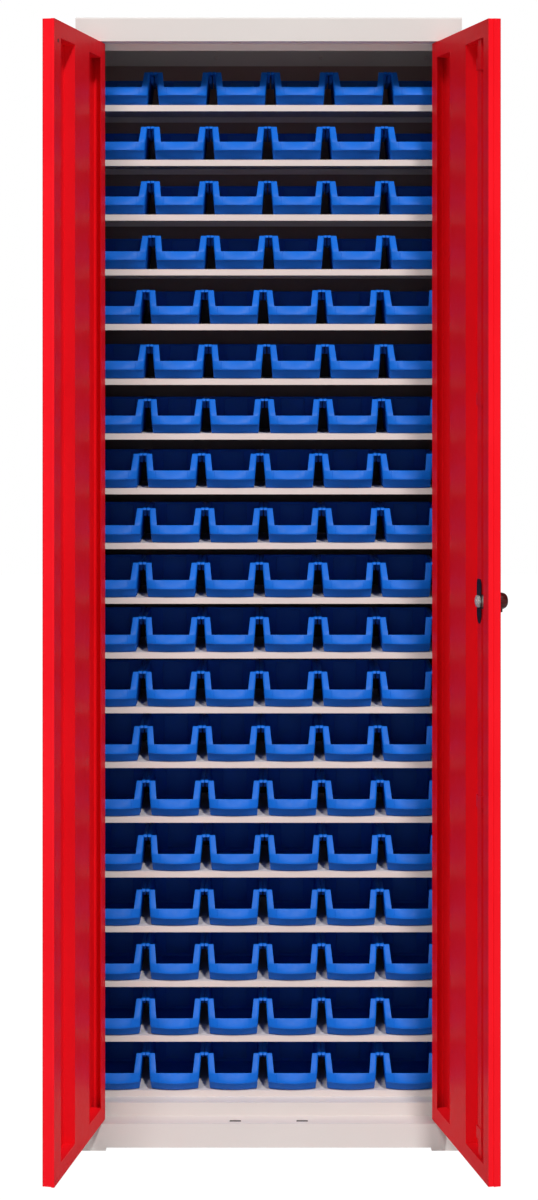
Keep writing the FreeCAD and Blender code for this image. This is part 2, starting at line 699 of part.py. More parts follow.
left_side = side_panel()
right_side = both_sides(left_side)[1]
back = box((-WALL_INSIDE, WALL_INSIDE), (REAR_SEAT, REAR), (RUNNER_HEIGHT, HEIGHT))
left_pan = door_panel(DOOR_WIDTH - EDGE_STEP / 2, DOOR_WIDTH + EDGE_STEP / 2, LEFT_STEP_DEPTH,
                      LEFT_FREE_LIP)
right_pan = door_panel(DOOR_WIDTH + EDGE_STEP / 2, DOOR_WIDTH - EDGE_STEP / 2,
                       RIGHT_STEP_DEPTH, DOOR_LIP)
right_door = both_sides(hung_left(right_pan))[1].cut(lock_rooms())
right_stiffener = both_sides(hung_left(door_stiffener()))[1]
pins = both_sides(pivot_pin(SOFFIT, -1)) + both_sides(lower_pivot())

pieces = {
    "left_side_panel": [left_side],
    "right_side_panel": [right_side],
    "back_panel": [back],
    "top_panel": [top_panel()],
    "base_pan": [base_pan()],
    "base_frame": [base_frame()],
    "shelf_rails": shelf_rails(),
    "hinge_pins": pins,
    "left_door_panel": [open_left(hung_left(left_pan))],
    "left_door_stiffener": [open_left(hung_left(door_stiffener()))],
    "right_door_panel": [open_right(right_door)],
    "right_door_stiffener": [open_right(right_stiffener)],
    "lock_handle": [open_right(lock_handle())],
    "lock_cam": [open_right(lock_cam())],
    "lock_nut": [open_right(lock_nut())],
    "upper_lock_rod": [open_right(lock_rod(DOOR_TOP, 1))],
    "lower_lock_rod": [open_right(lock_rod(DOOR_BOTTOM, -1))],
    "lock_body_and_guides": [open_right(piece) for piece in [lock_housing()] + rod_guides()],
}

one_bin = open_bin()
left_column = []
right_column = []
for row in range(SHELF_COUNT):
    bins = [one_bin.translated(place) for place in bin_places(row)]
    pieces[f"shelf_{row + 1:02d}"] = [shelf(row)]
    pieces[f"bins_row_{row + 1:02d}"] = bins[1:-1]
    left_column.append(bins[0])
    right_column.append(bins[-1])
pieces["left_column_bins"] = left_column
pieces["right_column_bins"] = right_column

os.makedirs("parts", exist_ok=True)
for name, solids in pieces.items():
    shape = solids[0] if len(solids) == 1 else Part.makeCompound(solids)
    shape.exportStep(f"parts/{name}.step")
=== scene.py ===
import json
import math

import bmesh
import bpy
from mathutils import Matrix, Vector


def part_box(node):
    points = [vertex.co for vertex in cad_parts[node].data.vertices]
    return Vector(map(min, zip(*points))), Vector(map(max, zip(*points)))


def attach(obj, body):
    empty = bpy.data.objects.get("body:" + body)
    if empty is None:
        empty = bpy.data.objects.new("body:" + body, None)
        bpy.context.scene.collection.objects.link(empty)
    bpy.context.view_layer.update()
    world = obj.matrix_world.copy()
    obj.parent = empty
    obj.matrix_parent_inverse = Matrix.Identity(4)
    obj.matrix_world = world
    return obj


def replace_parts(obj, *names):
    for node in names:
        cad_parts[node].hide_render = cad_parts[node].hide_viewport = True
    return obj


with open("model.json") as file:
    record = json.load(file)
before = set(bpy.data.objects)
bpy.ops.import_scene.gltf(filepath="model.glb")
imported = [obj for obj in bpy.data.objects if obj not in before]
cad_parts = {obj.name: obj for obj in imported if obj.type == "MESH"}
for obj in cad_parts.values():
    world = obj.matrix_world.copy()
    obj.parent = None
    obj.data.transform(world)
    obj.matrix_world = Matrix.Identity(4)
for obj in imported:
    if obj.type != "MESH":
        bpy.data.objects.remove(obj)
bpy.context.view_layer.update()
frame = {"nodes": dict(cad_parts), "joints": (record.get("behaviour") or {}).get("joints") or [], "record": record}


def joint(name):
    return next(j for j in frame["joints"] if j["name"] == name)


# ---------------------------------------------------------------- sizes, in metres
# What a CAD node's box or a joint gives is read from it.
# carcass: x runs to the right, y to the back, z up
SHEET = 0.001
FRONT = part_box("left_side_panel")[0].y
SHELF_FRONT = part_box("shelf_01")[0].y
ROWS = 19
RIVET_X = (-0.297, -0.099, 0.099, 0.297)
RIVET_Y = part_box("back_panel")[0].y - SHEET
RIVET_Z = (1.960, 0.058)
# the dark plates behind the ledge's slots, which are painted shade
KEEPER_SHADE_HALF = 0.013
KEEPER_SHADE_Y = (FRONT + 0.0226, FRONT + 0.0236)
KEEPER_SHADE_Z = (0.0200, 0.0460)

# bins: y runs back from the shelf's front, z up from the bin's foot
BINS_PER_ROW = 6
MIDDLE_LOW, MIDDLE_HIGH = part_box(f"bins_row_{ROWS:02d}")
BIN_GAP = 0.0004
BIN_PITCH = (MIDDLE_HIGH.x - MIDDLE_LOW.x + BIN_GAP) / (BINS_PER_ROW - 2)
BIN_HEIGHT = MIDDLE_HIGH.z - MIDDLE_LOW.z
BASE_HALF = 0.0422
TOP_HALF = 0.0473
BASE_BACK = 0.150
TOP_BACK = 0.1534
TUB_WALL = 0.0018
TUB_CORNER = 0.0035
TOE_CORNER = 0.0072
TOE_NOSE = 0.0
GRIP_TOP = 0.0317
GRIP_BOTTOM = 0.0156
GRIP_EDGE = -0.004
GRIP_CORNER = -0.005
GRIP_NOSE = MIDDLE_LOW.y - SHELF_FRONT
NOSE_POWER = 1.25
BULGE_POWER = 2.3
MOUTH_TOP = 0.0363
MOUTH_BOTTOM = 0.03275
# a tub's levels from the foot up: height, inset all round, recess of the front
TUB_LEVELS = ((0.0, 0.0018, 0.0), (0.0006, 0.0006, 0.0), (0.0018, 0.0, 0.0),
              (0.006, 0.0, 0.0006), (0.0118, 0.0, 0.0014), (0.0148, 0.0, 0.0023),
              (GRIP_BOTTOM, 0.0, 0.0014), (0.0162, 0.0, 0.0), (0.0205, 0.0, 0.0),
              (0.026, 0.0, 0.0), (0.0305, 0.0, 0.0), (GRIP_TOP, 0.0, 0.0),
              (0.039, 0.0, 0.0), (0.0475, 0.0, 0.0), (0.0570, 0.0, 0.0),
              (0.0605, 0.0, 0.0))
RIM_BACK = MIDDLE_HIGH.y - SHELF_FRONT
RIM_HEIGHT = 0.0043
RIM_FRONT = 0.018
RIM_INSET = 0.0016
RIM_INNER_CORNER = 0.004
RIM_OUTER_CORNER = 0.007
LABEL_RIB_X = 0.0285
LABEL_RIB_Z = (0.0185, 0.0305)
LABEL_RIB_STEPS = 5
RIM_RIB_X = 0.0490
RIM_RIB_Y = (0.045, 0.075, 0.105, 0.135)
RIM_RIB_HALF = (0.0024, 0.0006)
RIM_RIB_Z = (0.0440, 0.0575)
FIELD_HALF = 0.0215
FIELD_Z = (0.008, 0.0572)
FIELD_INSET = 0.0012
FIELD_RISE = 0.0026

# doors, as they stand when shut
PIVOT_INSET = 0.010
HINGE_EDGE = joint("right_door_hinge")["pos_m"][0] + PIVOT_INSET
DOOR_BOTTOM, DOOR_TOP = (corner.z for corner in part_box("left_door_panel"))
DOOR_THICKNESS = 0.021
DOOR_WIDTH = 0.312
DOOR_LIP = 0.027
LEFT_FREE_LIP = 0.037
STIFFENER = (0.103, 0.191)
POCKET_PLATE = 0.0012
POCKET_TUCK = 0.006
POCKET_CLEAR = 0.0002
SKIN_CLEAR = 0.0011
ROD_SLOT_HALF = 0.0108
ROD_SLOT_Y = (FRONT + 0.0125, FRONT + 0.0176)
LIP_HOLE = (-0.022, FRONT + DOOR_THICKNESS, 1.916)

# lock, on the right door: profiles are (radius, height out of the door's front)
KNOB = ((0.0, 0.0036), (0.0112, 0.0036), (0.0126, 0.0046), (0.0137, 0.0072),
        (0.0139, 0.011), (0.0139, 0.0175), (0.0137, 0.0222), (0.0128, 0.0250),
        (0.0110, 0.0276), (0.0086, 0.0294), (0.0050, 0.0306), (0.0, 0.0308))
FLUTES = 12
FLUTE_DEPTH = 0.0007
FLUTED_RADIUS = 0.012
FLUTED_HEIGHT = (0.006, 0.030)
WING = ((-0.003, -0.0190, 0.0038), (0.003, -0.0080, 0.022))
SHAFT = ((0.0, 0.0036), (0.005, 0.0036), (0.005, -0.0052), (0.0, -0.0052))
ROSE = ((0.0, 0.0002), (0.0150, 0.0002), (0.0150, 0.0024), (0.0142, 0.0032), (0.0, 0.0032))
PLATE_OUTLINE = ((-0.011, -0.024), (-0.006, -0.034), (0.0, -0.037), (0.006, -0.034),
                 (0.011, -0.024), (0.011, 0.030), (0.007, 0.037), (-0.007, 0.037),
                 (-0.011, 0.030))
PLATE_Z = (-0.0173, -0.0185)
NUT_FLAT = 0.0095
NUT_Z = (-0.0081, -0.0222)
STUD = ((0.0, -0.0215), (0.0086, -0.0215), (0.0086, -0.0226), (0.0078, -0.0231),
        (0.0050, -0.0231), (0.0050, -0.0238), (0.0043, -0.0243), (0.0, -0.0243))

# holes and rivets: profiles are (radius, height over the sheet)
HOLE = ((0.0032, 0.0), (0.0032, 0.0002), (0.0, 0.0002))
RIVET = ((0.0042, 0.0), (0.0042, 0.0004), (0.0036, 0.0010), (0.0024, 0.0016),
         (0.0011, 0.0019), (0.0009, 0.0010), (0.0, 0.0008))

# studio and camera
FLOOR_SIZE = 9.0
FLOOR_GLOW = 1.08
FLOOR_GLOW_SHARE = 0.93
WORLD_LIGHT = 0.04
PHOTO_HEIGHT = 1200
FOCAL_PIXELS = 2143
SENSOR = 36
CAMERA_DISTANCE = 3.77
CAMERA_HEIGHT = 1.430


# ---------------------------------------------------------------- materials
class Shader:
    """A Principled material with its texture nodes in object coordinates."""

    def __init__(self, name, rough, metallic=0.0, **sockets):
        self.material = bpy.data.materials.new(name)
        self.material.use_nodes = True
        self.nodes = self.material.node_tree.nodes
        self.links = self.material.node_tree.links
        self.bsdf = self.nodes["Principled BSDF"]
        self.bsdf.inputs["Roughness"].default_value = rough
        self.bsdf.inputs["Metallic"].default_value = metallic
        for socket, value in sockets.items():
            self.bsdf.inputs[socket.replace("_", " ")].default_value = value
        self.coordinates = self.nodes.new("ShaderNodeTexCoord").outputs["Object"]

    def noise(self, scale, detail=2.0):
        noise = self.nodes.new("ShaderNodeTexNoise")
        noise.inputs["Scale"].default_value = scale
        noise.inputs["Detail"].default_value = detail
        self.links.new(self.coordinates, noise.inputs["Vector"])
        return noise.outputs["Fac"]

    def ranged(self, value, source, target):
        """The value mapped from one (low, high) range to another."""
        ranged = self.nodes.new("ShaderNodeMapRange")
        for label, number in zip(("From Min", "From Max", "To Min", "To Max"), source + target):
            ranged.inputs[label].default_value = number
        self.links.new(value, ranged.inputs["Value"])
        return ranged.outputs["Result"]

    def colour(self, factor, stops):
        """The base colour, from (place, linear colour) stops along the factor."""
        ramp = self.nodes.new("ShaderNodeValToRGB")
        elements = ramp.color_ramp.elements
        while len(elements) < len(stops):
            elements.new(0.5)
        for element, (place, colour) in zip(elements, stops):
            element.position = place
            element.color = (*colour, 1)
        self.links.new(factor, ramp.inputs["Fac"])
        self.links.new(ramp.outputs["Color"], self.bsdf.inputs["Base Color"])

    def spread(self, factor, low, high):
        """Roughness that varies with the factor."""
        self.links.new(self.ranged(factor, (0.3, 0.7), (low, high)), self.bsdf.inputs["Roughness"])

    def bump(self, factor, strength, distance):
        bump = self.nodes.new("ShaderNodeBump")
        bump.inputs["Strength"].default_value = strength
        bump.inputs["Distance"].default_value = distance
        self.links.new(factor, bump.inputs["Height"])
        self.links.new(bump.outputs["Normal"], self.bsdf.inputs["Normal"])


def linear(red, green, blue):
    """Linear colour from 0 to 255 display values."""
    return tuple(v / 255 / 12.92 if v <= 10 else ((v / 255 + 0.055) / 1.055) ** 2.4
                 for v in (red, green, blue))


def shades(red, green, blue, spread):
    """Colour stops from a little darker to a little lighter than a display colour."""
    return [(0.3, linear(*(max(v * (1 - spread), 0) for v in (red, green, blue)))),
            (0.7, linear(*(min(v * (1 + spread), 255) for v in (red, green, blue))))]


def back_panel_painted_shade():
    """Light outside; inside, painted darker towards the lower rows: painted shade for the shade the bins cast
    there.
    """
    coat = Shader("back_panel_painted_shade", 0.5)
    place = coat.nodes.new("ShaderNodeSeparateXYZ")
    coat.links.new(coat.coordinates, place.inputs["Vector"])
    facing = coat.nodes.new("ShaderNodeSeparateXYZ")
    normal = coat.nodes.new("ShaderNodeNewGeometry").outputs["Normal"]
    coat.links.new(normal, facing.inputs["Vector"])
    lightness = coat.nodes.new("ShaderNodeMath")
    lightness.operation = "MAXIMUM"
    outside = coat.ranged(facing.outputs["Y"], (-0.5, 0.5), (0.0, 1.0))
    # painted shade: the inside darkens from 1.85 m down to 1.15 m high
    inside = coat.ranged(place.outputs["Z"], (1.15, 1.85), (0.02, 0.62))
    coat.links.new(outside, lightness.inputs[0])
    coat.links.new(inside, lightness.inputs[1])
    coat.colour(lightness.outputs["Value"], [(0.0, linear(58, 46, 48)),
                                             (0.62, linear(164, 136, 132)),
                                             (1.0, linear(222, 213, 208))])
    coat.spread(coat.noise(70.0), 0.42, 0.56)
    return coat


grey = Shader("grey_powder_coat", 0.42)
grey.colour(grey.noise(3.0, 3.0), shades(218, 213, 209, 0.012))
grey.spread(grey.noise(60.0), 0.36, 0.48)
grey.bump(grey.noise(520.0, 1.0), 0.06, 0.0004)

shelf_grey = Shader("shelf_powder_coat", 0.42)
shelf_grey.colour(shelf_grey.noise(4.0, 3.0), shades(222, 213, 208, 0.012))
shelf_grey.spread(shelf_grey.noise(70.0), 0.36, 0.48)
shelf_grey.bump(shelf_grey.noise(520.0, 1.0), 0.06, 0.0004)

red = Shader("red_powder_coat", 0.34, Specular_IOR_Level=0.03)
red.colour(red.noise(5.0, 3.0), [(0.3, linear(243, 22, 34)), (0.7, linear(250, 28, 40))])
red.spread(red.noise(80.0), 0.31, 0.39)
red.bump(red.noise(260.0, 1.0), 0.03, 0.0004)

blue = Shader("blue_polypropylene", 0.42, Specular_IOR_Level=0.14)
blue.colour(blue.noise(26.0, 4.0), shades(10, 102, 206, 0.03))
blue.spread(blue.noise(140.0), 0.40, 0.52)
blue.bump(blue.noise(900.0, 2.0), 0.08, 0.0004)

# the fields on the bins' rear walls, painted a little paler than the rest: a painted sheen
sheen_painted_blue = Shader("blue_polypropylene_painted_sheen", 0.5, Specular_IOR_Level=0.14)
sheen_painted_blue.colour(sheen_painted_blue.noise(9.0, 3.0), shades(46, 112, 202, 0.03))
sheen_painted_blue.spread(sheen_painted_blue.noise(80.0), 0.46, 0.56)

zinc = Shader("zinc_plate", 0.28, 0.3)
zinc.colour(zinc.noise(700.0, 3.0), shades(205, 205, 202, 0.06))
zinc.spread(zinc.noise(400.0), 0.22, 0.38)
zinc.bump(zinc.noise(1500.0), 0.08, 0.0002)

black = Shader("blackened_steel", 0.5, Specular_IOR_Level=0.2)
black.colour(black.noise(300.0, 3.0), shades(24, 14, 16, 0.15))
black.spread(black.noise(300.0), 0.38, 0.55)
black.bump(black.noise(900.0), 0.1, 0.0003)

brown = Shader("knob_moulding", 0.32, Specular_IOR_Level=0.35)
brown.colour(brown.noise(90.0, 3.0), shades(74, 20, 17, 0.12))
brown.spread(brown.noise(200.0), 0.24, 0.38)
brown.bump(brown.noise(700.0), 0.08, 0.0003)

# painted shadow, for the hole in the left door's lip and the slots in the ledge
hole_dark = Shader("shadow_of_a_hole", 0.8)
hole_dark.colour(hole_dark.noise(500.0), shades(26, 8, 10, 0.15))

SLOTS = {"grey_paint": grey, "red_paint": red, "bin_plastic": blue,
         "bright_steel": zinc, "dark_steel": black, "knob_plastic": brown}


def paint(obj, shader):
    obj.data.materials.clear()
    obj.data.materials.append(shader.material)


back_painted_shade = back_panel_painted_shade()
for subpart in frame["record"]["subparts"]:
    node = subpart["node"]
    if node.startswith("shelf_"):
        shader = shelf_grey
    # the back panel's inside carries painted shade
    elif node == "back_panel":
        shader = back_painted_shade
    elif node == "lock_body_and_guides":
        shader = red
    else:
        shader = SLOTS[subpart["material_slot"]]
    paint(frame["nodes"][node], shader)


# ---------------------------------------------------------------- mesh helpers
def new_object(name, bm):
    """The bmesh as an object, its faces turned outwards."""
    bmesh.ops.recalc_face_normals(bm, faces=bm.faces)
    mesh = bpy.data.meshes.new(name)
    bm.to_mesh(mesh)
    bm.free()
    obj = bpy.data.objects.new(name, mesh)
    bpy.context.scene.collection.objects.link(obj)
    return obj


def finished(name, bm, shader, body, smooth_below):
    """The bmesh as a named piece that rides on a body. Edges below that angle look smooth."""
    obj = new_object(name, bm)
    obj.data.shade_smooth()
    obj.data.set_sharp_from_angle(angle=math.radians(smooth_below))
    paint(obj, shader)
    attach(obj, body)
    return obj


def bevelled(obj, width, segments=2, angle=30.0):
    bevel = obj.modifiers.new("edges", "BEVEL")
    bevel.width = width
    bevel.segments = segments
    bevel.limit_method = "ANGLE"
    bevel.angle_limit = math.radians(angle)
    bevel.use_clamp_overlap = True
    return obj


def applied(obj):
    """The object's mesh with its modifiers carried out, and the object removed."""
    graph = bpy.context.evaluated_depsgraph_get()
    mesh = bpy.data.meshes.new_from_object(obj.evaluated_get(graph))
    bpy.data.objects.remove(obj)
    return mesh


def add_box(bm, low, high):
    """A box between two corners."""
    (x0, y0, z0), (x1, y1, z1) = low, high
    corners = [bm.verts.new((x, y, z)) for z in (z0, z1)
               for x, y in ((x0, y0), (x1, y0), (x1, y1), (x0, y1))]
    for quad in ((0, 1, 2, 3), (4, 5, 6, 7), (0, 1, 5, 4),
                 (1, 2, 6, 5), (2, 3, 7, 6), (3, 0, 4, 7)):
        bm.faces.new([corners[i] for i in quad])


def add_slotted_box(bm, low, high, slot_low, slot_high):
    """A box with a rectangular slot through it from bottom to top."""
    (x0, y0, z0), (x1, y1, z1) = low, high
    (u0, v0), (u1, v1) = slot_low, slot_high
    add_box(bm, (x0, y0, z0), (u0, y1, z1))
    add_box(bm, (u1, y0, z0), (x1, y1, z1))
    add_box(bm, (u0, y0, z0), (u1, v0, z1))
    add_box(bm, (u0, v1, z0), (u1, y1, z1))


def add_loft(bm, sections):
    """A solid through closed rings of points, each with as many points."""
    rings = [[bm.verts.new(point) for point in section] for section in sections]
    for a, b in zip(rings, rings[1:]):
        for i in range(len(a)):
            j = (i + 1) % len(a)
            bm.faces.new((a[i], a[j], b[j], b[i]))
    bm.faces.new(rings[0])
    bm.faces.new(rings[-1])


def add_lathe(bm, profile, matrix, segments, radius_at=None):
    """A body turned about local Z from (radius, height) points; an end at radius 0 closes."""
    rings = []
    for r, h in profile:
        if r == 0.0:
            rings.append([bm.verts.new(matrix @ Vector((0, 0, h)))])
            continue
        ring = []
        for i in range(segments):
            angle = 2 * math.pi * i / segments
            radius = radius_at(r, h, angle) if radius_at else r
            ring.append(bm.verts.new(matrix @ Vector((radius * math.cos(angle),
                                                      radius * math.sin(angle), h))))
        rings.append(ring)
    for a, b in zip(rings, rings[1:]):
        for i in range(segments):
            j = (i + 1) % segments
            if len(a) == 1:
                bm.faces.new((a[0], b[i], b[j]))
            elif len(b) == 1:
                bm.faces.new((a[i], a[j], b[0]))
            else:
                bm.faces.new((a[i], a[j], b[j], b[i]))
    for ring in (rings[0], rings[-1]):
        if len(ring) > 1:
            bm.faces.new(ring)


# ---------------------------------------------------------------- bins
def at(height, low, high):
    """What leans from low at a bin's foot to high at its rim."""
    return low + (high - low) * height / BIN_HEIGHT


def ear_front(height):
    """Where the raked front edge of a bin's side stands, above the grip."""
    return GRIP_EDGE + (height - GRIP_TOP) * (RIM_FRONT - GRIP_EDGE) / (BIN_HEIGHT - GRIP_TOP)


def tub_half_outline(height, inset, recess):
    """Right half of a bin's level outline, from the middle of its front to that of its back."""
    half = at(height, BASE_HALF, TOP_HALF) - inset
    back = at(height, BASE_BACK, TOP_BACK) - inset
    turn = TUB_CORNER
    mouth = MOUTH_BOTTOM
    if height <= GRIP_BOTTOM:
        share = height / GRIP_BOTTOM
        corner = TOE_CORNER + (GRIP_CORNER - TOE_CORNER) * share
        nose = TOE_NOSE + (GRIP_NOSE - TOE_NOSE) * share
    elif height <= GRIP_TOP:
        share = (height - GRIP_BOTTOM) / (GRIP_TOP - GRIP_BOTTOM)
        corner = GRIP_CORNER + (GRIP_EDGE - GRIP_CORNER) * share
        nose = GRIP_NOSE + (GRIP_EDGE - GRIP_NOSE) * share ** NOSE_POWER
    else:
        corner = nose = ear_front(height)
        mouth += (MOUTH_TOP - MOUTH_BOTTOM) * (height - GRIP_TOP) / (BIN_HEIGHT - GRIP_TOP)
    corner += recess + inset
    nose += recess + inset
    points = []
    for x in (0.0, 0.008, 0.0165, 0.025, mouth, half - turn):
        bulge = max(0.0, 1 - (x / (half - turn)) ** BULGE_POWER)
        points.append((x, corner + (nose - corner) * bulge))
    for step in (30, 60, 90):
        a = math.radians(step)
        points.append((half - turn + turn * math.sin(a), corner + turn - turn * math.cos(a)))
    for share in (0.3, 0.65):
        points.append((half, corner + turn + (back - corner - 2 * turn) * share))
    for step in (0, 30, 60, 90):
        a = math.radians(step)
        points.append((half - turn + turn * math.cos(a), back - turn + turn * math.sin(a)))
    points += [(half * 0.5, back), (0.0, back)]
    return points


def tub_mesh():
    """The thin open tub, with its floor, its grip and its raked ears."""
    bm = bmesh.new()
    rings = []
    for height, inset, recess in TUB_LEVELS:
        right = tub_half_outline(height, inset, recess)
        full = right + [(-x, y) for x, y in reversed(right[1:-1])]
        rings.append([bm.verts.new((x, y, height)) for x, y in full])
    count = len(rings[0])
    # the faces across the front between the two mouth points, left out above the grip
    across = {0, 1, 2, 3, count - 1, count - 2, count - 3, count - 4}
    for (height, _, _), low, high in zip(TUB_LEVELS, rings, rings[1:]):
        for i in range(count):
            if height >= GRIP_TOP and i in across:
                continue
            j = (i + 1) % count
            bm.faces.new((low[i], low[j], high[j], high[i]))
    bm.faces.new(rings[0])
    tub = new_object("tub", bm)
    wall = tub.modifiers.new("wall", "SOLIDIFY")
    wall.thickness = TUB_WALL
    wall.offset = -1
    wall.use_even_offset = True
    return applied(bevelled(tub, 0.0005, 2, 50))


def add_label_rib(bm, x):
    """An upright rib on the bulged grip, one end of its label field."""
    low, high = LABEL_RIB_Z
    sections = []
    for i in range(LABEL_RIB_STEPS + 1):
        z = low + (high - low) * i / LABEL_RIB_STEPS
        (x_a, y_a), (x_b, y_b) = tub_half_outline(z, 0.0, 0.0)[3:5]
        y = y_a + (y_b - y_a) * (abs(x) - x_a) / (x_b - x_a)
        sections.append([(x + dx, y + dy, z) for dx, dy in (
            (-0.0006, 0.001), (-0.0006, -0.0005), (0.0006, -0.0005), (0.0006, 0.001))])
    add_loft(bm, sections)


def rim_path(half, back, radius, front):
    """A level line up a bin's right side, round the back and down its left side."""
    points = [(half, front), (half, back * 0.5), (half, back - radius)]
    points += [(half - radius + radius * math.cos(math.radians(a)),
                back - radius + radius * math.sin(math.radians(a))) for a in (30, 60, 90)]
    points.append((0.0, back))
    return points + [(-x, y) for x, y in reversed(points[:-1])]


def rim_mesh():
    """The thick rim round the sides and the back."""
    bm = bmesh.new()
    low = BIN_HEIGHT - RIM_HEIGHT
    outer = ((BIN_PITCH - BIN_GAP) / 2, RIM_BACK, RIM_OUTER_CORNER)
    inner = (TOP_HALF - RIM_INSET, TOP_BACK - RIM_INSET, RIM_INNER_CORNER)
    out_low, in_low, out_high, in_high = (
        [bm.verts.new((x, y, height)) for x, y in rim_path(*edge, front)]
        for height, front in ((low, ear_front(low)), (BIN_HEIGHT, RIM_FRONT))
        for edge in (outer, inner))
    for a, b in ((out_low, out_high), (out_high, in_high), (in_high, in_low), (in_low, out_low)):
        for i in range(len(a) - 1):
            bm.faces.new((a[i], a[i + 1], b[i + 1], b[i]))
    for end in (0, -1):
        bm.faces.new((out_low[end], in_low[end], in_high[end], out_high[end]))
    return applied(bevelled(new_object("rim", bm), 0.0011, 3, 40))


def ribs_mesh():
    """The label ribs on the grip and the short ribs under the rim."""
    bm = bmesh.new()
    half_x, half_y = RIM_RIB_HALF
    low, high = RIM_RIB_Z
    for side in (-1, 1):
        add_label_rib(bm, side * LABEL_RIB_X)
        x = side * RIM_RIB_X
        for y in RIM_RIB_Y:
            add_box(bm, (x - half_x, y - half_y, low), (x + half_x, y + half_y, high))
    return applied(bevelled(new_object("ribs", bm), 0.0004, 1, 40))


def field_mesh():
    """The raised field on the inside of the rear wall, which leans back with the wall."""
    sections = []
    for z in FIELD_Z:
        wall = at(z, BASE_BACK, TOP_BACK) - FIELD_INSET
        face = wall - FIELD_RISE
        sections.append([(-FIELD_HALF, face, z), (FIELD_HALF, face, z),
                         (FIELD_HALF, wall, z), (-FIELD_HALF, wall, z)])
    bm = bmesh.new()
    add_loft(bm, sections)
    return applied(bevelled(new_object("field", bm), 0.0006, 2, 40))


bin_meshes = [tub_mesh(), rim_mesh(), ribs_mesh()]
field_meshes = [field_mesh()]


def copies(name, meshes, places, body, shader):
    """One piece that has the meshes at each (x, seat height)."""
    bm = bmesh.new()
    for x, z in places:
        for mesh in meshes:
            start = len(bm.verts)
            bm.from_mesh(mesh)
            bm.verts.ensure_lookup_table()
            bmesh.ops.transform(bm, matrix=Matrix.Translation((x, SHELF_FRONT, z)),
                                verts=bm.verts[start:])
    return finished(name, bm, shader, body, 32)


def bins(label, places, body, node):
    """The bins at these places and the fields on their rear walls, for one CAD node."""
    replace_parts(copies(f"moulded_bins_{label}", bin_meshes, places, body, blue), node)
    # the rear fields are drawn in the paler blue of the painted sheen
    copies(f"rear_fields_{label}", field_meshes, places, body, sheen_painted_blue)


def bin_place(row, index):
    """Where a row's bin stands, counted from the left; its middle four are a CAD node."""
    low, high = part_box(f"bins_row_{row + 1:02d}")
    return (low.x + high.x) / 2 + (index - (BINS_PER_ROW - 1) / 2) * BIN_PITCH, low.z


for row in range(ROWS):
    label = f"{row + 1:02d}"
    places = [bin_place(row, index) for index in range(1, BINS_PER_ROW - 1)]
    bins(label, places, f"bins_{label}", f"bins_row_{label}")
for side, index in (("left", 0), ("right", BINS_PER_ROW - 1)):
    places = [bin_place(row, index) for row in range(ROWS)]
    bins(f"{side}_column", places, "carcass", f"{side}_column_bins")


# ---------------------------------------------------------------- doors
def opening(hinge):
    """The turn that takes a shut door to where it stands open at rest."""
    pivot = Matrix.Translation(hinge["pos_m"])
    shut = math.radians(hinge["range_deg"][0])
    return pivot @ Matrix.Rotation(-shut, 4, Vector(hinge["axis"])) @ pivot.inverted()


LEFT = opening(joint("left_door_hinge"))
RIGHT = opening(joint("right_door_hinge"))
LOCK_PLACE = RIGHT.inverted() @ Vector(joint("lock_turn")["pos_m"])


def pocket_ends(name, side, turn, free_lip, rod_slot):
    """Level plates that close a door's two pockets at the edges of its end lips."""
    bm = bmesh.new()
    front, back = FRONT + SKIN_CLEAR, FRONT + DOOR_THICKNESS - SKIN_CLEAR
    hinge_pocket = (DOOR_LIP - POCKET_TUCK, STIFFENER[0] - POCKET_CLEAR)
    free_pocket = (STIFFENER[1] + POCKET_CLEAR, DOOR_WIDTH - free_lip + POCKET_TUCK)
    bottom, top = DOOR_BOTTOM + DOOR_LIP, DOOR_TOP - DOOR_LIP
    for low, high in ((bottom - POCKET_PLATE, bottom), (top, top + POCKET_PLATE)):
        x0, x1 = sorted(side * (HINGE_EDGE - v) for v in hinge_pocket)
        add_box(bm, (x0, front, low), (x1, back, high))
        x0, x1 = sorted(side * (HINGE_EDGE - v) for v in free_pocket)
        if rod_slot:
            add_slotted_box(bm, (x0, front, low), (x1, back, high),
                            (LOCK_PLACE.x - ROD_SLOT_HALF, ROD_SLOT_Y[0]),
                            (LOCK_PLACE.x + ROD_SLOT_HALF, ROD_SLOT_Y[1]))
        else:
            add_box(bm, (x0, front, low), (x1, back, high))
    bm.transform(turn)
    finished(name, bm, red, "left_door" if side < 0 else "right_door", 30)


pocket_ends("left_pocket_ends", -1, LEFT, LEFT_FREE_LIP, False)
pocket_ends("right_pocket_ends", 1, RIGHT, DOOR_LIP, True)

# ---------------------------------------------------------------- lock
# local Z points out of the door's front, local Y up
TO_FRONT = Matrix.Rotation(math.radians(90), 4, "X")
LOCK = RIGHT @ Matrix.Translation(LOCK_PLACE) @ TO_FRONT


def fluted_radius(r, h, angle):
    """Shallow finger flutes round the knob's side."""
    low, high = FLUTED_HEIGHT
    if low < h < high and r > FLUTED_RADIUS:
        return r - FLUTE_DEPTH * (0.5 + 0.5 * math.cos(FLUTES * angle))
    return r


bm = bmesh.new()
add_lathe(bm, KNOB, LOCK, 72, fluted_radius)
knob = finished("lock_knob", bm, brown, "lock_spindle", 40)
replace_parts(knob, "lock_handle")

bm = bmesh.new()
add_box(bm, *WING)
bm.transform(LOCK)
bevelled(finished("lock_knob_wing", bm, brown, "lock_spindle", 40), 0.0012, 3)

bm = bmesh.new()
add_lathe(bm, SHAFT, LOCK, 24)
finished("lock_spindle_shaft", bm, zinc, "lock_spindle", 40)

bm = bmesh.new()
add_lathe(bm, ROSE, LOCK, 48)
finished("lock_rose", bm, black, "right_door", 30)

bm = bmesh.new()
add_loft(bm, [[LOCK @ Vector((x, y, z)) for x, y in PLATE_OUTLINE] for z in PLATE_Z])
bevelled(finished("lock_plate", bm, black, "lock_spindle", 30), 0.0003, 1)

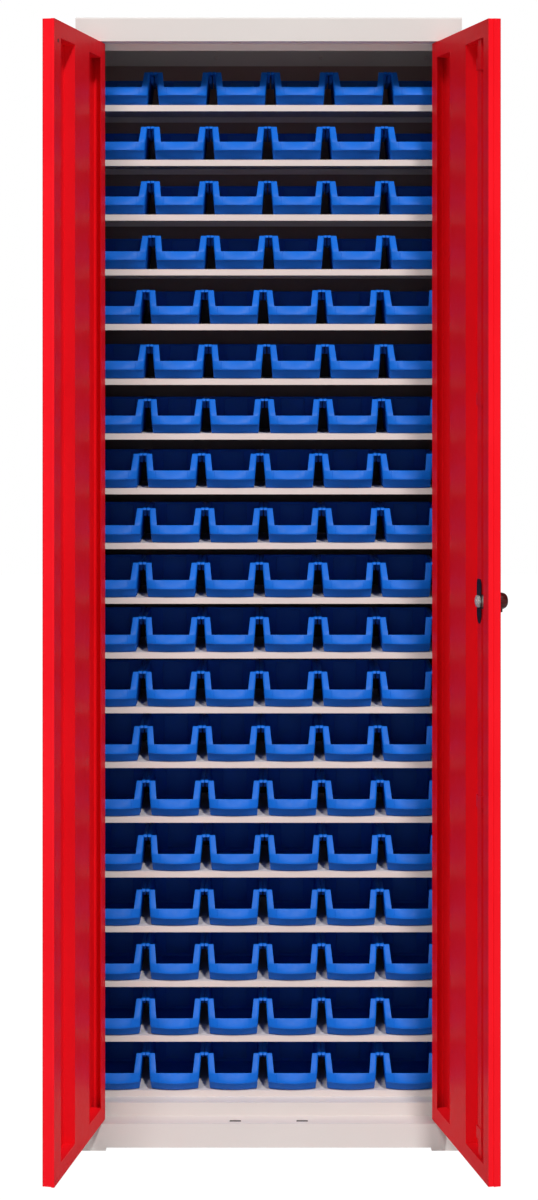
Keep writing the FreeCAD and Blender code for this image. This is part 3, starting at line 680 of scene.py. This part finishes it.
bm = bmesh.new()
nut_corner = NUT_FLAT / math.cos(math.radians(30))
add_lathe(bm, [(0.0, NUT_Z[0]), (nut_corner, NUT_Z[0]), (nut_corner, NUT_Z[1]), (0.0, NUT_Z[1])],
          LOCK, 6)
nut = bevelled(finished("lock_hex_nut", bm, zinc, "lock_spindle", 25), 0.0009, 2)
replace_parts(nut, "lock_nut")

bm = bmesh.new()
add_lathe(bm, STUD, LOCK, 28)
finished("lock_stud_end", bm, zinc, "lock_spindle", 30)

# ---------------------------------------------------------------- small fasteners and holes
# a dark disc on the left door's lip: painted shadow where the lip has a hole
bm = bmesh.new()
TO_BACK = Matrix.Rotation(math.radians(-90), 4, "X")
add_lathe(bm, HOLE, LEFT @ Matrix.Translation(LIP_HOLE) @ TO_BACK, 20)
finished("left_lip_hole", bm, hole_dark, "left_door", 30)

bm = bmesh.new()
for x in RIVET_X:
    for z in RIVET_Z:
        add_lathe(bm, RIVET, Matrix.Translation((x, RIVET_Y, z)) @ TO_FRONT, 16)
finished("back_rivets", bm, shelf_grey, "carcass", 30)

# dark plates behind the two slots in the ledge: painted shade, as the slots show only shade behind them
bm = bmesh.new()
for x in (-LOCK_PLACE.x, LOCK_PLACE.x):
    add_box(bm, (x - KEEPER_SHADE_HALF, KEEPER_SHADE_Y[0], KEEPER_SHADE_Z[0]),
            (x + KEEPER_SHADE_HALF, KEEPER_SHADE_Y[1], KEEPER_SHADE_Z[1]))
bevelled(finished("keeper_painted_shades", bm, hole_dark, "carcass", 30), 0.0002, 1)


# ---------------------------------------------------------------- floor, light and camera
def floor():
    """A plain pale floor that shows mostly its own even glow to the camera."""
    bm = bmesh.new()
    bmesh.ops.create_grid(bm, x_segments=8, y_segments=8, size=FLOOR_SIZE)
    obj = new_object("studio_floor", bm)
    shader = Shader("studio_floor", 0.7)
    shader.colour(shader.noise(2.0), shades(204, 204, 204, 0.004))
    nodes, links = shader.nodes, shader.links
    path = nodes.new("ShaderNodeLightPath")
    glow = nodes.new("ShaderNodeEmission")
    glow.inputs["Strength"].default_value = FLOOR_GLOW
    share = nodes.new("ShaderNodeMath")
    share.operation = "MULTIPLY"
    share.inputs[1].default_value = FLOOR_GLOW_SHARE
    mix = nodes.new("ShaderNodeMixShader")
    links.new(path.outputs["Is Camera Ray"], share.inputs[0])
    links.new(share.outputs[0], mix.inputs[0])
    links.new(shader.bsdf.outputs[0], mix.inputs[1])
    links.new(glow.outputs[0], mix.inputs[2])
    links.new(mix.outputs[0], nodes["Material Output"].inputs["Surface"])
    paint(obj, shader)


def studio_world():
    """White to the camera and through anything clear, and a faint fill light to the rest."""
    world = bpy.data.worlds.new("studio")
    bpy.context.scene.world = world
    world.use_nodes = True
    nodes, links = world.node_tree.nodes, world.node_tree.links
    fill = nodes["Background"]
    fill.inputs["Color"].default_value = (1, 1, 1, 1)
    fill.inputs["Strength"].default_value = WORLD_LIGHT
    white = nodes.new("ShaderNodeBackground")
    white.inputs["Color"].default_value = (1, 1, 1, 1)
    white.inputs["Strength"].default_value = 1.0
    path = nodes.new("ShaderNodeLightPath")
    either = nodes.new("ShaderNodeMath")
    either.operation = "MAXIMUM"
    links.new(path.outputs["Is Camera Ray"], either.inputs[0])
    links.new(path.outputs["Is Transmission Ray"], either.inputs[1])
    mix = nodes.new("ShaderNodeMixShader")
    links.new(either.outputs[0], mix.inputs[0])
    links.new(fill.outputs[0], mix.inputs[1])
    links.new(white.outputs[0], mix.inputs[2])
    links.new(mix.outputs[0], nodes["World Output"].inputs["Surface"])


def softbox(name, place, aim, size, power):
    light = bpy.data.lights.new(name, "AREA")
    light.shape = "RECTANGLE"
    light.size, light.size_y = size
    light.energy = power
    obj = bpy.data.objects.new(name, light)
    obj.location = place
    obj.rotation_euler = (Vector(aim) - Vector(place)).to_track_quat("-Z", "Y").to_euler()
    bpy.context.scene.collection.objects.link(obj)


floor()
studio_world()
softbox("key_right", (4.0, -12.8, 16.0), (0, 0, 1.0), (1.3, 1.8), 2420)
softbox("key_left", (-4.6, -12.6, 15.6), (0, 0, 1.0), (4.0, 5.0), 1600)
softbox("front_light", (0.0, -7.0, 1.6), (0, 0, 1.0), (2.6, 2.6), 14)
softbox("back_light", (0.0, 8.5, 7.0), (0, 0, 1.0), (3.0, 3.0), 170)
softbox("left_light", (-4.2, -3.6, 2.4), (0.3, -0.2, 1.0), (1.6, 2.6), 15)
softbox("right_light", (4.2, -3.6, 2.4), (-0.3, -0.2, 1.0), (1.6, 2.6), 15)

camera = bpy.data.cameras.new("camera")
camera.sensor_fit = "VERTICAL"
camera.sensor_height = SENSOR
camera.lens = FOCAL_PIXELS / PHOTO_HEIGHT * SENSOR
camera.shift_y = -0.2184
camera.shift_x = 0.00025
eye = bpy.data.objects.new("camera", camera)
eye.location = (0, FRONT - CAMERA_DISTANCE, CAMERA_HEIGHT)
eye.rotation_euler = (math.radians(90), 0, 0)
bpy.context.scene.collection.objects.link(eye)
bpy.context.scene.camera = eye
bpy.context.scene.view_settings.view_transform = "Standard"
